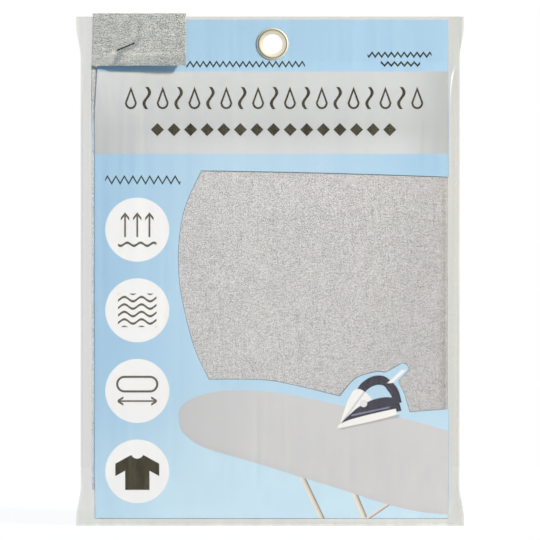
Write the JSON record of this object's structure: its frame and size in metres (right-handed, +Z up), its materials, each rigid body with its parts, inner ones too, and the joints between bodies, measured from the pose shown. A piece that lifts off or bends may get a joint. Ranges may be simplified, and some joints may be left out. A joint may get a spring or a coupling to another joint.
{
  "type": "packed ironing board cover",
  "caption": "Folded metallic foam-backed ironing board cover in a clear hanging bag, with a windowed insert card, an eyelet and a stapled fabric sample.",
  "frame": {"origin": "middle of the eyelet's hole", "axes": "+Z up along the pack's height, +X to the right of its printed front, +Y through the pack to its back"},
  "size_m": [0.2295, 0.0149, 0.3031],
  "materials": {
    "clear_film": "thin clear film with a faint green-grey cast and a soft gloss",
    "printed_board": "white board printed in pale blue, light grey and white",
    "metallic_fabric": "plain weave with a silver metallic coating",
    "foam": "cream foam backing, open cell",
    "eyelet_brass": "bright plated, rolled edge",
    "staple_wire": "drawn steel wire"
  },
  "bodies": {
    "pack": {"bag_front_film": "clear_film", "bag_back_film": "clear_film", "bag_left_weld": "clear_film", "bag_right_weld": "clear_film", "bag_bottom_weld": "clear_film", "insert_card": "printed_board", "cover_metallic_face": "metallic_fabric", "cover_foam_lining": "foam", "eyelet_barrel": "eyelet_brass", "eyelet_washer": "eyelet_brass", "sample_face": "metallic_fabric", "sample_foam": "foam", "staple": "staple_wire"},
    "front_flap": {"sample_front_flap_face": "metallic_fabric", "sample_front_flap_foam": "foam"},
    "back_flap": {"sample_back_flap_face": "metallic_fabric", "sample_back_flap_foam": "foam"}
  },
  "joints": [
    {"name": "front_flap_lift", "type": "hinge", "parent": "pack", "child": "front_flap", "pos_m": [-0.0785, -0.00217, -0.00525], "axis": [-1, 0, 0], "range_deg": [0, 80]},
    {"name": "back_flap_lift", "type": "hinge", "parent": "pack", "child": "back_flap", "pos_m": [-0.0785, 0.00247, -0.00525], "axis": [1, 0, 0], "range_deg": [0, 80]}
  ]
}
